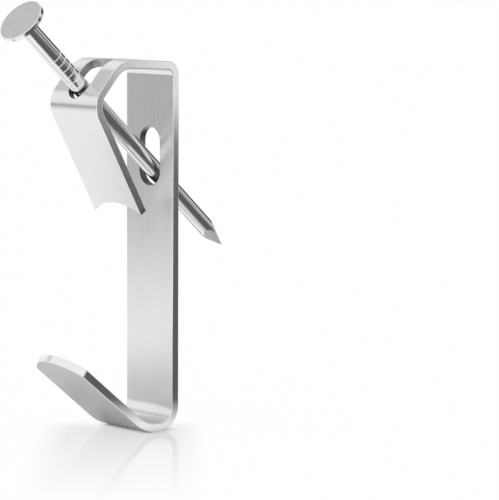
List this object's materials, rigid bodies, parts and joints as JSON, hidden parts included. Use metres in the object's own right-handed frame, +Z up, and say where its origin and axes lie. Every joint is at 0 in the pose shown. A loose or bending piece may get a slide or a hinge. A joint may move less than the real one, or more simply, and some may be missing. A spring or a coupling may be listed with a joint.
{
  "type": "picture hook with nail",
  "caption": "Folded strip-steel picture hook with a slanted nail guide, a J-shaped lip for a wire or ring, and a flat-headed nail resting in its hole and slot.",
  "frame": {"origin": "where the nail's axis meets the wall plane, on the plane of the back plate's back face, in the middle of the strip's width", "axes": "+X across the strip, +Y into the wall, +Z up along the back plate"},
  "size_m": [0.0064, 0.027, 0.0406],
  "materials": {
    "plated_strip": "satin nickel-plated strip steel",
    "bright_nail": "bright drawn steel wire"
  },
  "bodies": {
    "root": {"hook": "plated_strip", "nail": "bright_nail"}
  },
  "joints": []
}
